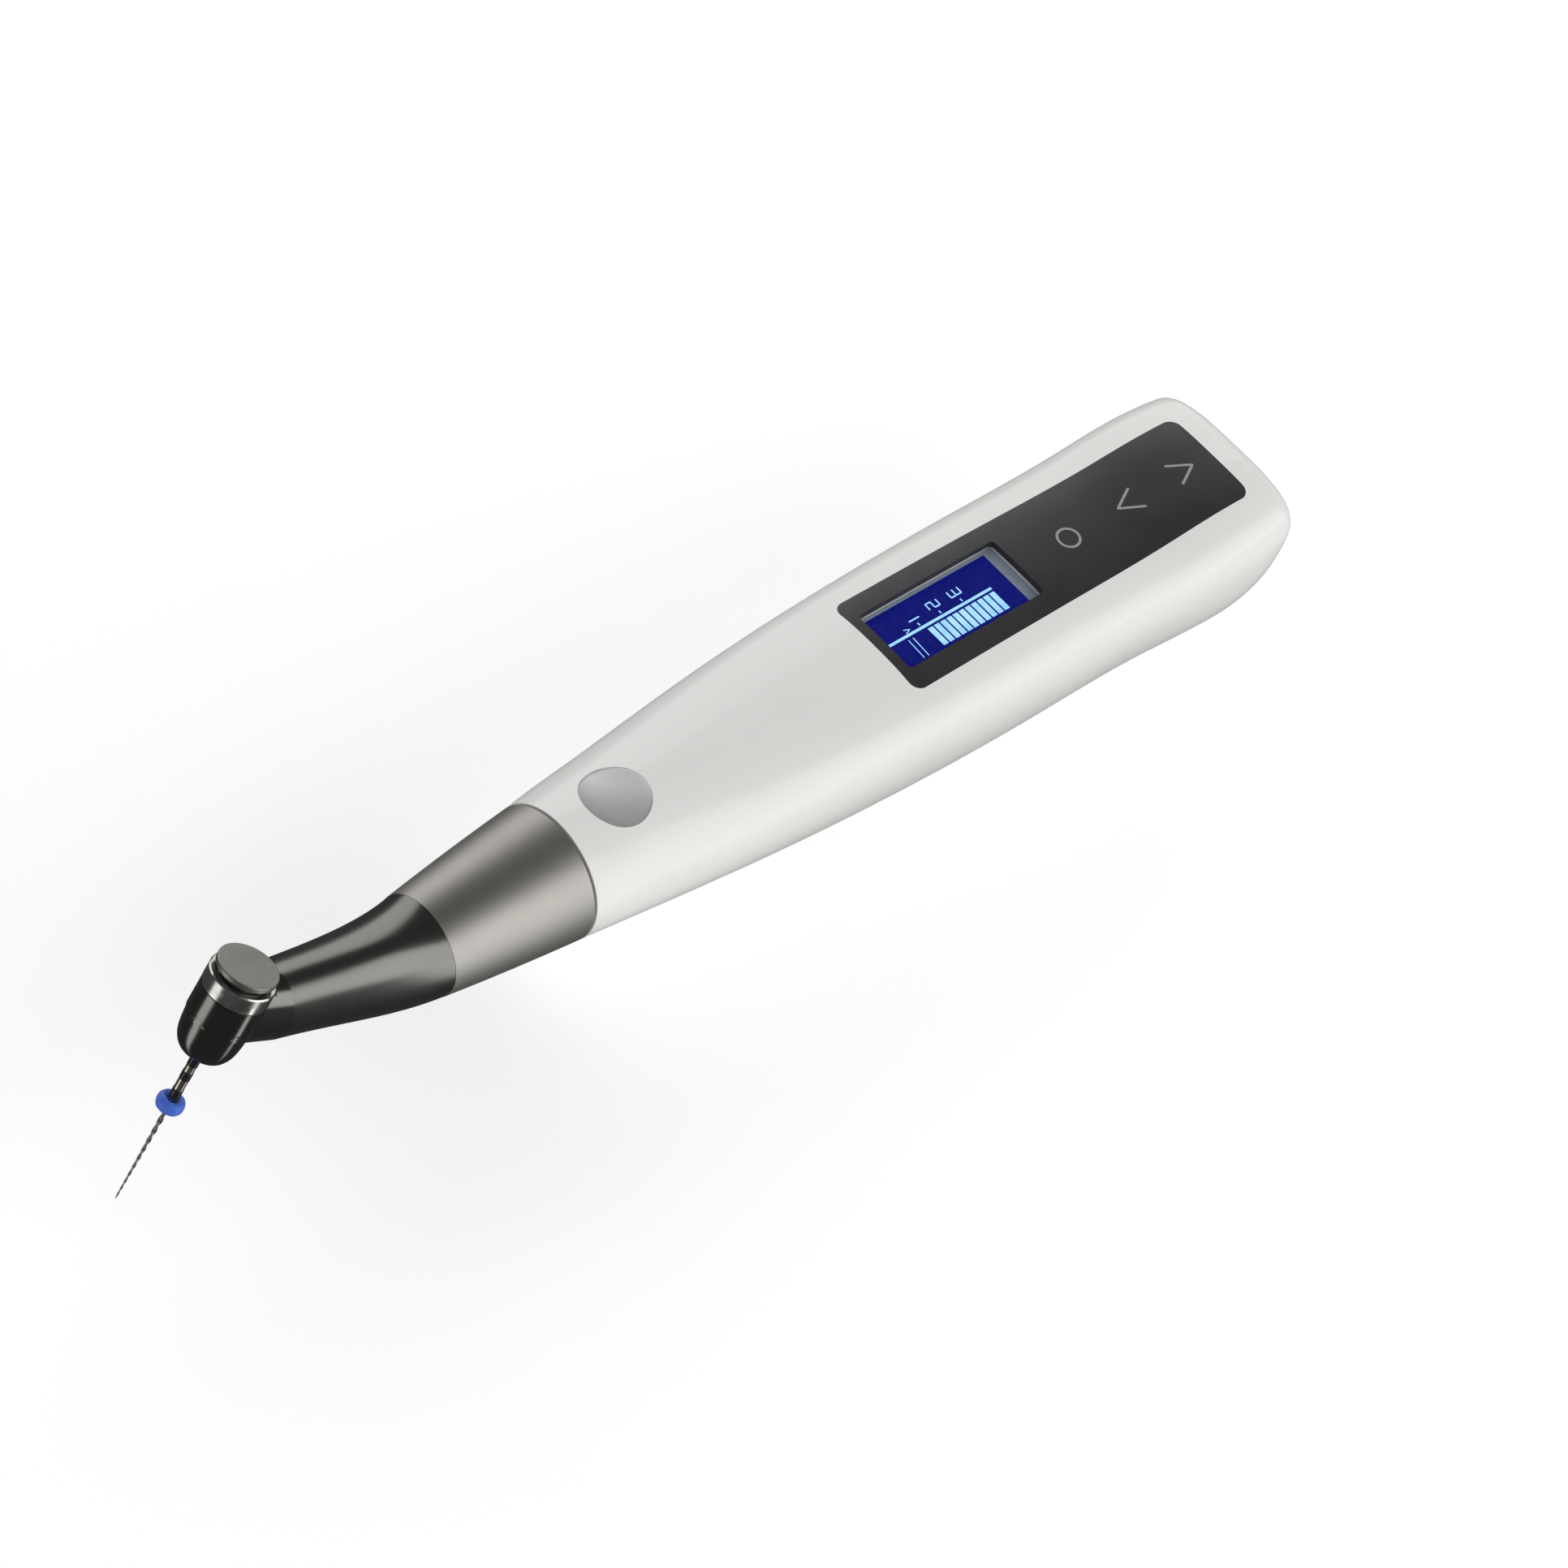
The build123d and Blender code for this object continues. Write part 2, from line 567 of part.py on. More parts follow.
with BuildPart() as motor_rotor:
    add(tube(AXIS, 0.75, 0, GEAR_FRONT - 0.1, MOTOR_REAR + 0.6))
    with BuildSketch(AXIS.offset(GEAR_FRONT - 0.1)):
        gear_sketch(SUN_TEETH, 0.72, 0.3, 0.42, 0)
    extrude(amount=GEAR_REAR - GEAR_FRONT + 0.2)
export(motor_rotor, "motor_rotor")

with BuildPart() as rotor_magnet:
    add(tube(AXIS, 4.9, 0.75, 36, 52))
export(rotor_magnet, "rotor_magnet")

with BuildPart() as planet_carrier:
    add(tube(AXIS, 5.3, 0, 22.4, GEAR_FRONT - 0.4))
    add(tube(AXIS, 1.5, 0, -3.2, 22.6))
    add(tube(AXIS, 3.0, 0, -4.5, -3.0))
    with BuildSketch(AXIS.offset(GEAR_FRONT - 0.5)):
        with PolarLocations(PLANET_ORBIT, 3):
            Circle(0.5)
    extrude(amount=GEAR_REAR - GEAR_FRONT + 0.8)
    with BuildSketch(AXIS.offset(-7.5)):
        with Locations((2.45, 0), (-2.45, 0)):
            Rectangle(0.9, 0.8)
    extrude(amount=3.2)
export(planet_carrier, "planet_carrier")

PLANET_SPOTS = [
    (PLANET_ORBIT * cos(radians(angle)), PLANET_ORBIT * sin(radians(angle)), angle) for angle in (0, 120, 240)
]
for number, (across, up, angle) in enumerate(PLANET_SPOTS, start=1):
    with BuildPart() as planet:
        with BuildSketch(Plane(origin=nose(GEAR_FRONT, across, up), x_dir=(0, 1, 0), z_dir=(1, 0, 0))):
            gear_sketch(PLANET_TEETH, 0.72, 0.3, 0.42, angle + 15)
            Circle(0.53, mode=Mode.SUBTRACT)
        extrude(amount=GEAR_REAR - GEAR_FRONT)
    export(planet, f"planet_gear_{number}")

# ---- Coupling between the handpiece and the contra-angle ----------------------------
with BuildPart() as latch_bush:
    add(tube(AXIS, 6.4, SPIGOT_RADIUS + 0.1, -16.5, -1.0))
    add(tube(AXIS, 5.7, 0, -10.6, -9.4), mode=Mode.SUBTRACT)
export(latch_bush, "latch_bush")

with BuildPart() as latch_ring:
    add(tube(AXIS, 5.68, SPIGOT_RADIUS + 0.12, -10.5, -9.5))
    with BuildSketch(level(-7)):
        with Locations((-10, 0)):
            Rectangle(3, 1.6)
    extrude(amount=4, mode=Mode.SUBTRACT)
export(latch_ring, "latch_ring")

# ---- Contra-angle -------------------------------------------------------------------
with BuildPart() as sleeve:
    with BuildSketch(NOSE_PROFILE):
        with BuildLine():
            Polyline((SLEEVE_TIP, SLEEVE_TIP_R), (SLEEVE_TIP, 5.5), (-19, 5.5), (-19, 4.2), (-17.5, 4.2))
            Polyline((-17.5, 4.2), (-17.5, 6.5), (-SEAM_GAP, 6.5), (-SEAM_GAP, SLEEVE_REAR_R - 0.2))
            Line((-SEAM_GAP, SLEEVE_REAR_R - 0.2), (-SEAM_GAP - 0.2, SLEEVE_REAR_R - 0.02))
            ThreePointArc(
                (-SEAM_GAP - 0.2, SLEEVE_REAR_R - 0.02), (-12.1, 9.42), (SLEEVE_TIP, SLEEVE_TIP_R),
            )
        make_face()
    revolve(axis=NOSE_AXIS)
export(sleeve, "sleeve")

NECK_SEAM = 8.9               # where the neck's shell meets the head's collar
bend_start = SLEEVE_TIP - BEND_X
bend_radius = bend_start / sin(BEND / 2) * cos(BEND / 2)
# share of the bend or distance before the head, outer radius there, and its drop below the axis
NECK_IN_BEND = [(0.0, SLEEVE_TIP_R - 0.02, 0.0), (0.5, 7.65, 0.1), (1.0, 7.2, 0.3)]
NECK_STRAIGHT = [(27.0, 6.5, 0.6), (19.0, 5.9, 0.85), (NECK_SEAM, 5.45, 1.05)]

with BuildPart() as neck_shell:
    for share, radius, drop in NECK_IN_BEND:
        turn = BEND * share
        centre = nose(SLEEVE_TIP - bend_radius * sin(turn), 0, bend_radius * (1 - cos(turn)))
        with BuildSketch(Plane(origin=centre, x_dir=(0, 1, 0), z_dir=(cos(turn), 0, -sin(turn)))):
            with Locations((0, -drop)):
                Circle(radius)
    for distance, radius, drop in NECK_STRAIGHT:
        with BuildSketch(NECK.offset(distance)):
            with Locations((0, -drop)):
                Circle(radius)
    loft()
    add(tube(AXIS, 5.5, 0, SLEEVE_TIP - 0.5, -19))
    add(tube(AXIS, NECK_BORE, 0, BEND_X, -18), mode=Mode.SUBTRACT)
    add(tube(NECK, NECK_BORE, 0, 0, NECK_LENGTH), mode=Mode.SUBTRACT)
    with Locations(BEND_POINT):
        Sphere(NECK_BORE, mode=Mode.SUBTRACT)
export(neck_shell, "neck_shell")

with BuildPart() as head_housing:
    with BuildSketch(NECK_PROFILE):
        with BuildLine():
            Polyline((0, -7.7), (2.6, -7.7))
            Spline((2.6, -7.7), (3.9, -6.9), (4.6, -4.6), (4.9, -1.0), (4.95, 3.4), tangents=[(1, 0), (0, 1)])
            Polyline((4.95, 3.4), (4.95, 6.0), (0, 6.0), (0, -7.7))
        make_face()
    revolve(axis=Axis(HEAD_POINT, HEAD_UP))
    with BuildSketch(NECK.offset(1)):
        with Locations((0, -0.6)):
            Ellipse(4.4, 5.0)
    with BuildSketch(NECK.offset(NECK_SEAM)):
        with Locations((0, -NECK_STRAIGHT[-1][2])):
            Circle(NECK_STRAIGHT[-1][1] - 0.03)
    loft()
    add(tube(HEAD, 6.5, 4.2, 3.4, 6.25), mode=Mode.SUBTRACT)
    add(tube(HEAD, HEAD_BORE, 0, -5.9, 7), mode=Mode.SUBTRACT)
    add(tube(HEAD, 1.9, 0, -8, 0), mode=Mode.SUBTRACT)
    add(tube(NECK, NECK_BORE, 0, 0, 12), mode=Mode.SUBTRACT)
export(head_housing, "head_housing")

with BuildPart() as head_band:
    add(tube(HEAD, 4.98, 4.2, 3.4, 6.2))
    chamfer(head_band.edges().filter_by(GeomType.CIRCLE).group_by(SortBy.RADIUS)[-1], 0.2)
export(head_band, "head_band")

with BuildPart() as push_cap:
    add(tube(HEAD, CAP_RADIUS, 0, CAP_TOP - 0.75, CAP_TOP))
    fillet(push_cap.edges().group_by(Axis(HEAD_POINT, HEAD_UP))[-1], 0.15)
    add(tube(HEAD, 3.4, 0, 5.9, CAP_TOP - 0.7))
    add(tube(HEAD, 2.9, 0, 5.8, 7.0), mode=Mode.SUBTRACT)
    add(tube(HEAD, 1.8, 1.3, LATCH_TOP + CAP_TRAVEL + 0.05, 7.1))
export(push_cap, "push_cap")

with BuildPart() as cap_spring:
    with BuildLine():
        coil = Helix(pitch=0.62, height=1.5, radius=2.4, center=HEAD.offset(5.25).origin, direction=HEAD_UP)
    with BuildSketch(Plane(origin=coil @ 0, z_dir=coil % 0)):
        Circle(0.2)
    sweep(is_frenet=True)
export(cap_spring, "cap_spring")

with BuildPart() as rear_bearings:
    add(tube(AXIS, NECK_BORE - 0.02, 1.43, -23.2, -21.6))
    add(tube(AXIS, NECK_BORE - 0.02, 1.43, -20.8, -19.2))
export(rear_bearings, "rear_bearings")

with BuildPart() as neck_bearings:
    add(tube(NECK, NECK_BORE - 0.02, 1.13, 5.2, 6.8))
    add(tube(NECK, NECK_BORE - 0.02, 1.13, 30.4, 32.0))
export(neck_bearings, "neck_bearings")

with BuildPart() as spindle_bearings:
    add(tube(HEAD, HEAD_BORE - 0.02, 1.68, -5.8, -4.2))
    add(tube(HEAD, HEAD_BORE - 0.02, 1.68, 3.8, 5.0))
export(spindle_bearings, "spindle_bearings")

with BuildPart() as rear_shaft:
    add(tube(AXIS, 1.4, 0, -25.2, -8.2))
    add(tube(AXIS, 3.0, 0, -9.5, -8.0))
    with BuildSketch(AXIS.offset(-8.2)):
        with Locations((0, 2.45), (0, -2.45)):
            Rectangle(0.8, 0.9)
    extrude(amount=3.2)
    add(bevel_gear(REAR_FROM_BEND, SHAFT_BEVEL_R, SHAFT_BEVEL_CONE, 2.0, 0, 1.0, 0))
export(rear_shaft, "rear_shaft")

with BuildPart() as neck_shaft:
    add(tube(NECK, 1.1, 0, 3.5, NECK_LENGTH - 1.5))
    add(bevel_gear(NECK_FROM_BEND, SHAFT_BEVEL_R, SHAFT_BEVEL_CONE, 2.0, 0, 1.0, 15))
    add(bevel_gear(NECK, HEAD_BEVEL_R, HEAD_BEVEL_CONE, 3.7, 0, 0.9, 15))
export(neck_shaft, "neck_shaft")

with BuildPart() as spindle:
    add(tube(HEAD, 1.65, 1.2, -7.4, 5.1))
    add(bevel_gear(HEAD, HEAD_BEVEL_R, HEAD_BEVEL_CONE, 3.5, 1.3, 0.9, 0))
    with BuildSketch(HEAD.offset(SHANK_FLAT_FROM + 0.1)):
        with Locations((SHANK_FLAT + 0.4, 0)):
            Rectangle(0.6, 1.6)
    extrude(amount=1.4)
export(spindle, "spindle")

with BuildPart() as chuck_latch:
    add(tube(HEAD, 1.9, 1.2, LATCH_LOW, LATCH_TOP))
    with BuildSketch(HEAD.offset(5)):
        with Locations((1.5, 0)):
            Rectangle(3, 1.0)
    extrude(amount=1, mode=Mode.SUBTRACT)
export(chuck_latch, "chuck_latch")

# ---- File and stopper ---------------------------------------------------------------
with BuildPart() as file_shank:
    add(tube(HEAD, SHANK_RADIUS, 0, -6.6, SHANK_TOP))
    with BuildSketch(HEAD.offset(SHANK_FLAT_FROM)):
        with Locations((SHANK_FLAT + 1, 0)):
            Rectangle(2, 4)
    extrude(amount=4, mode=Mode.SUBTRACT)
    add(tube(HEAD, 2, 0.85, LATCH_LOW - 0.05, LATCH_TOP + 0.05), mode=Mode.SUBTRACT)
    add(tube(HEAD, 0.75, 0, -17.0, -6.6))
export(file_shank, "file_shank")

with BuildPart() as shank_bands:
    for low, high in ((-10.6, -7.6), (-13.2, -11.8), (-16.7, -15.1)):
        add(tube(HEAD, 0.8, 0.75, low, high))
export(shank_bands, "shank_bands")

with BuildPart() as file_blade:
    with BuildSketch(HEAD.offset(-17.0)):
        Circle(0.46)
    with BuildSketch(HEAD.offset(FILE_TIP)):
        Circle(0.13)
    loft()
export(file_blade, "file_blade")

with BuildPart() as stopper:
    add(tube(HEAD, 2.1, 0.5, STOPPER_Z - 1.05, STOPPER_Z + 1.05))
    fillet(stopper.edges().filter_by(GeomType.CIRCLE).group_by(SortBy.RADIUS)[-1], 0.55)
    add(tube(HEAD, 1.1, 0, STOPPER_Z + 0.5, STOPPER_Z + 1.2), mode=Mode.SUBTRACT)
export(stopper, "stopper")
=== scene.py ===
import bpy
import bmesh
import json
from math import cos, sin, pi, radians, sqrt
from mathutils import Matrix, Quaternion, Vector
import numpy as np
from mathutils.bvhtree import BVHTree
from mathutils.kdtree import KDTree


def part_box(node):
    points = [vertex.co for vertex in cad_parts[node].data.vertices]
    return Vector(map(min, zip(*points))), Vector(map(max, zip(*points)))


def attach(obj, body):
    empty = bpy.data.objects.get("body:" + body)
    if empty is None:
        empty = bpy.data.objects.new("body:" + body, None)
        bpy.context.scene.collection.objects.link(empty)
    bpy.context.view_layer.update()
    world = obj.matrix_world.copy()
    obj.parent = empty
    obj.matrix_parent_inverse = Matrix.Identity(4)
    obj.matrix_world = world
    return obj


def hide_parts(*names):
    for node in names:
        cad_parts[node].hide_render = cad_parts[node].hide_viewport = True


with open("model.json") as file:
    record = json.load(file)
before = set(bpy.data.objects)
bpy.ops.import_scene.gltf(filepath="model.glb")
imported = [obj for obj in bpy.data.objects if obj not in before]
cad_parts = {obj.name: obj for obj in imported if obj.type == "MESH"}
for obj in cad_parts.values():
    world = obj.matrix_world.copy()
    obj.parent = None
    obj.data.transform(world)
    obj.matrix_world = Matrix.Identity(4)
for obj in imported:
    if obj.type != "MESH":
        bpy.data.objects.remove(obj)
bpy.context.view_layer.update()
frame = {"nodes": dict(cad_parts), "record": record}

MM = 0.001
DOWN = Vector((0, 0, -1))
ABOVE = 20                    # a height in nose millimetres that clears the whole object
nodes = frame["nodes"]
slots = {part["node"]: part["material_slot"] for part in frame["record"]["subparts"]}

# ---- Places, in the row frame, worked out from the CAD nodes -------------------------
SEAM_X = -0.092               # the sleeve's seam
AXIS_Z = 0.0218               # the nose axis
BEND = radians(20)
HEAD_UP = Vector((sin(BEND), 0, cos(BEND)))
NECK_BACK = Vector((cos(BEND), 0, -sin(BEND)))
NECK_LENGTH = 37.18 * MM
BEND_POINT = Vector((SEAM_X - 0.027, 0, AXIS_Z))
HEAD_POINT = BEND_POINT - NECK_BACK * NECK_LENGTH

BUTTON_X, BUTTON_RADIUS = 10.6, 5.33          # the power button, in nose millimetres
BLADE_TOP, BLADE_THICK, BLADE_THIN = -17.0, 0.46, 0.13
PRINT_WIDTH, PRINT_LIFT = 0.42, 0.015         # the panel's printed symbols


def nose(x, y=0.0, z=0.0):
    """A point in millimetres from the sleeve's seam and the nose axis."""
    return Vector((SEAM_X + x * MM, y * MM, AXIS_Z + z * MM))


def head(across, side, up):
    """A point in millimetres from the head's centre: towards the neck, aside, and up its axis."""
    return HEAD_POINT + NECK_BACK * across * MM + Vector((0, side * MM, 0)) + HEAD_UP * up * MM


# ---- Materials -----------------------------------------------------------------------
class Shader:
    """A small helper that lays out one node material."""

    def __init__(self, name):
        self.material = bpy.data.materials.new(name)
        self.material.use_nodes = True
        self.tree = self.material.node_tree
        self.surface = self.tree.nodes["Principled BSDF"]
        self.coords = self.tree.nodes.new("ShaderNodeTexCoord").outputs["Object"]

    def set(self, **values):
        for key, value in values.items():
            socket = self.surface.inputs[key.replace("_", " ")]
            colour = isinstance(value, tuple) and len(value) == 3
            socket.default_value = (*value, 1.0) if colour else value
        return self

    def link(self, out, socket):
        self.tree.links.new(out, socket)

    def stretched(self, scale):
        mapping = self.tree.nodes.new("ShaderNodeMapping")
        mapping.inputs["Scale"].default_value = scale
        self.link(self.coords, mapping.inputs["Vector"])
        return mapping.outputs["Vector"]

    def noise(self, scale, detail=3.0, rough=0.5, stretch=None):
        node = self.tree.nodes.new("ShaderNodeTexNoise")
        node.inputs["Scale"].default_value = scale
        node.inputs["Detail"].default_value = detail
        node.inputs["Roughness"].default_value = rough
        self.link(self.stretched(stretch) if stretch else self.coords, node.inputs["Vector"])
        return node.outputs["Fac"]

    def cells(self, scale, feature="F1"):
        node = self.tree.nodes.new("ShaderNodeTexVoronoi")
        node.feature = feature
        node.inputs["Scale"].default_value = scale
        self.link(self.coords, node.inputs["Vector"])
        return node.outputs["Distance"]

    def ramp(self, fac, stops):
        node = self.tree.nodes.new("ShaderNodeValToRGB")
        while len(node.color_ramp.elements) < len(stops):
            node.color_ramp.elements.new(0.5)
        for element, (place, colour) in zip(node.color_ramp.elements, stops):
            element.position = place
            element.color = (*colour, 1.0)
        self.link(fac, node.inputs["Fac"])
        return node.outputs["Color"]

    def spread(self, fac, low, high, start=0.3, end=0.7):
        node = self.tree.nodes.new("ShaderNodeMapRange")
        limits = {"From Min": start, "From Max": end, "To Min": low, "To Max": high}
        for key, value in limits.items():
            node.inputs[key].default_value = value
        self.link(fac, node.inputs["Value"])
        return node.outputs["Result"]

    def bump(self, height, strength, distance, after=None):
        node = self.tree.nodes.new("ShaderNodeBump")
        node.inputs["Strength"].default_value = strength
        node.inputs["Distance"].default_value = distance
        self.link(height, node.inputs["Height"])
        if after:
            self.link(after, node.inputs["Normal"])
        return node.outputs["Normal"]

    def finish(self, colour=None, roughness=None, normal=None):
        if colour:
            self.link(colour, self.surface.inputs["Base Color"])
        if roughness:
            self.link(roughness, self.surface.inputs["Roughness"])
        if normal:
            self.link(normal, self.surface.inputs["Normal"])
        return self.material


def tinted(shader, colour, share, scale, detail=3.0, stretch=None):
    """A base colour that drifts a little over the surface."""
    low = tuple(c * (1 - share) for c in colour)
    high = tuple(min(1.0, c * (1 + share)) for c in colour)
    return shader.ramp(shader.noise(scale, detail, stretch=stretch), [(0.3, low), (0.7, high)])


def moulded(name, colour, low, high, grain=4500.0, strength=0.05, coat=0.0, share=0.03):
    """Moulded plastic: a faint drift of tone, uneven gloss and a fine spark-eroded grain."""
    m = Shader(name).set(IOR=1.5, Coat_Weight=coat, Coat_Roughness=0.06)
    return m.finish(
        tinted(m, colour, share, 90.0),
        m.spread(m.noise(260.0, 4.0), low, high),
        m.bump(m.noise(grain, 2.0), strength, 0.00001),
    )


def metal(name, colour, low, high, grain=6000.0, strength=0.08, share=0.06, stretch=None,
          blotch=140.0):
    """Machined or plated metal with blotchy gloss and a fine grain."""
    m = Shader(name).set(Metallic=1.0)
    return m.finish(
        tinted(m, colour, share, blotch),
        m.spread(m.noise(blotch * 2.2, 5.0), low, high),
        m.bump(m.noise(grain, 2.0, stretch=stretch), strength, 0.00001),
    )


def rubbery(name, colour, low, high, strength=0.2):
    """Silicone or rubber: matt, with a soft sheen and a powdery grain."""
    m = Shader(name).set(IOR=1.45, Sheen_Weight=0.12, Sheen_Roughness=0.5)
    return m.finish(
        tinted(m, colour, 0.08, 700.0),
        m.spread(m.noise(1800.0, 3.0), low, high),
        m.bump(m.noise(5200.0, 3.0), strength, 0.00002),
    )


MATERIALS = {
    "housing_white": moulded("housing_white", (0.80, 0.795, 0.78), 0.29, 0.31, coat=0.30,
                             share=0.006),
    "panel_charcoal": moulded("panel_charcoal", (0.030, 0.030, 0.032), 0.30, 0.42, 9000.0, 0.10,
                              share=0.10),
    "bezel_blue_grey": moulded("bezel_blue_grey", (0.30, 0.36, 0.46), 0.25, 0.40),
    "key_silicone": rubbery("key_silicone", (0.05, 0.052, 0.058), 0.55, 0.70),
    "component_black": moulded("component_black", (0.02, 0.02, 0.021), 0.5, 0.7, 8000.0, 0.3),
    "inner_plastic": moulded("inner_plastic", (0.03, 0.03, 0.032), 0.45, 0.6, 6000.0, 0.2),
    "cell_wrap": moulded("cell_wrap", (0.03, 0.10, 0.32), 0.2, 0.35),
    "steel": metal("steel", (0.56, 0.57, 0.58), 0.18, 0.32),
    "screw_steel": metal("screw_steel", (0.42, 0.42, 0.43), 0.22, 0.38),
    "gear_steel": metal("gear_steel", (0.48, 0.47, 0.45), 0.25, 0.4),
    "motor_steel": metal("motor_steel", (0.60, 0.60, 0.58), 0.25, 0.4, stretch=(1, 30, 30)),
    "copper_winding": metal("copper_winding", (0.75, 0.33, 0.15), 0.25, 0.4, stretch=(20, 1, 1)),
    "magnet": metal("magnet", (0.22, 0.22, 0.23), 0.4, 0.55),
    "contact_brass": metal("contact_brass", (0.86, 0.66, 0.32), 0.18, 0.3),
    "seal_rubber": rubbery("seal_rubber", (0.015, 0.015, 0.015), 0.45, 0.6),
    "sleeve_grey": metal("sleeve_grey", (0.47, 0.458, 0.435), 0.45, 0.475, 9000.0, 0.30, 0.02),
    "black_chrome": metal("black_chrome", (0.21, 0.207, 0.195), 0.150, 0.158, 7000.0, 0.015,
                          0.02),
    "band_metal": metal("band_metal", (0.66, 0.65, 0.63), 0.14, 0.28, 5200.0, 0.10, 0.18,
                        blotch=420.0),
    "cap_grey": metal("cap_grey", (0.40, 0.393, 0.375), 0.42, 0.52, 9000.0, 0.30, 0.04),
    "file_brass": metal("file_brass", (0.62, 0.58, 0.46), 0.14, 0.26, blotch=600.0),
    "band_black": moulded("band_black", (0.012, 0.012, 0.012), 0.2, 0.35),
    "file_steel": metal("file_steel", (0.44, 0.45, 0.44), 0.2, 0.32, blotch=900.0),
    "stopper_blue": rubbery("stopper_blue", (0.045, 0.13, 0.62), 0.36, 0.50),
}


def circuit_board():
    """Solder mask with copper tracks that show through as lighter squares and lines."""
    m = Shader("circuit_green").set(IOR=1.5, Coat_Weight=0.5, Coat_Roughness=0.15)
    copper, mask = (0.03, 0.16, 0.07), (0.012, 0.075, 0.03)
    tracks = m.ramp(m.cells(900.0, "DISTANCE_TO_EDGE"), [(0.04, copper), (0.08, mask)])
    return m.finish(tracks, m.spread(m.noise(500.0), 0.3, 0.45),
                    m.bump(m.cells(900.0), 0.2, 0.00003))


def lit_display():
    """Backlit navy panel whose glow drifts a little over its face."""
    m = Shader("display").set(Emission_Strength=1.0, Specular_IOR_Level=0.15)
    glow = m.ramp(m.noise(160.0, 2.0), [(0.2, (0.0, 0.002, 0.135)), (0.8, (0.0, 0.003, 0.155))])
    m.link(glow, m.surface.inputs["Emission Color"])
    return m.finish(m.ramp(m.noise(900.0), [(0.3, (0.0, 0.001, 0.03)), (0.7, (0.0, 0.002, 0.05))]),
                    m.spread(m.noise(700.0), 0.2, 0.3))


def lit_marks():
    """The display's pale blue figures and bars, lit from behind."""
    m = Shader("display_marks").set(Emission_Strength=1.0, Specular_IOR_Level=0.15)
    glow = m.ramp(m.noise(700.0, 2.0), [(0.3, (0.20, 0.46, 0.80)), (0.7, (0.30, 0.57, 0.88))])
    m.link(glow, m.surface.inputs["Emission Color"])
    return m.finish(m.ramp(m.noise(700.0), [(0.3, (0.2, 0.4, 0.7)), (0.7, (0.3, 0.5, 0.8))]))


def clear_window():
    """Thin hard-coated glazing: mostly see-through, with a faint unevenness in its gloss."""
    m = Shader("clear_window").set(IOR=1.5, Alpha=0.05)
    return m.finish(tinted(m, (0.05, 0.055, 0.07), 0.05, 300.0),
                    m.spread(m.noise(600.0), 0.02, 0.06))


def printed_ink():
    """The grey print of the panel's symbols."""
    m = Shader("printed_ink")
    return m.finish(tinted(m, (0.31, 0.31, 0.30), 0.06, 1500.0),
                    m.spread(m.noise(2500.0), 0.4, 0.55),
                    m.bump(m.noise(6000.0), 0.1, 0.00001))


def button_with_painted_shade():
    """Satin grey cap with painted shade: darker towards its front near edge and painted lighter
    towards its back far edge, in place of the dish's own shading.
    """
    m = Shader("button_grey").set(IOR=1.5)
    split = m.tree.nodes.new("ShaderNodeSeparateXYZ")
    m.link(m.stretched((1.0, 0.8, 1.0)), split.inputs[0])
    # x plus a share of y: the painted shade runs slantwise, darkest at the front near edge and
    # lightest at the back far one
    along = m.tree.nodes.new("ShaderNodeMath")
    m.link(split.outputs[0], along.inputs[0])
    m.link(split.outputs[1], along.inputs[1])
    middle = nose(BUTTON_X).x
    shade = m.spread(along.outputs[0], 0.0, 1.0, middle - 5.2 * MM, middle + 4.2 * MM)
    speckled = m.tree.nodes.new("ShaderNodeMath")
    speckled.operation = "MULTIPLY_ADD"
    m.link(m.noise(900.0), speckled.inputs[0])
    speckled.inputs[1].default_value = 0.06
    m.link(shade, speckled.inputs[2])
    # painted shade at the front near edge, painted highlight at the back far edge, the satin grey
    # between
    painted_shade_tone, satin, pale = (0.25, 0.262, 0.256), (0.40, 0.412, 0.405), (0.70, 0.71, 0.70)
    colour = m.ramp(speckled.outputs[0], [(0.0, painted_shade_tone), (0.5, satin), (1.0, pale)])
    return m.finish(colour, m.spread(m.noise(260.0), 0.4, 0.5),
                    m.bump(m.noise(7000.0), 0.12, 0.00001))


MATERIALS["button_grey"] = button_with_painted_shade()
MATERIALS["circuit_green"] = circuit_board()
MATERIALS["display"] = lit_display()
MATERIALS["clear_window"] = clear_window()
MARKS = lit_marks()
NECK_CHROME = metal("neck_chrome", (0.215, 0.212, 0.20), 0.235, 0.245, 7000.0, 0.015, 0.02)
INK = printed_ink()

for node, slot in slots.items():
    mesh = nodes[node].data
    mesh.materials.clear()
    mesh.materials.append(MATERIALS[slot])


# ---- Pieces modelled in mesh ----------------------------------------------------------
def surface_of(node):
    """The CAD node's mesh as a tree that rays can be cast on."""
    form = bmesh.new()
    form.from_mesh(nodes[node].data)
    tree = BVHTree.FromBMesh(form)
    form.free()
    return tree


def piece(name, points, faces, material, body, smooth=True, replaced=()):
    """A mesh object that rides on a body and stands for the CAD nodes it replaces."""
    mesh = bpy.data.meshes.new(name)
    mesh.from_pydata(points, [], faces)
    mesh.materials.append(material)
    for polygon in mesh.polygons:
        polygon.use_smooth = smooth
    made = bpy.data.objects.new(name, mesh)
    bpy.context.scene.collection.objects.link(made)
    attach(made, body)
    if replaced:
        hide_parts(*replaced)
    return made


def rows_to_faces(rows, across, closed):
    """Quads between successive rows of points, wrapped round when each row is a ring."""
    faces = []
    last = across if closed else across - 1
    for i in range(rows - 1):
        for j in range(last):
            k = (j + 1) % across
            here, there = i * across, (i + 1) * across
            faces.append((here + j, here + k, there + k, there + j))
    return faces


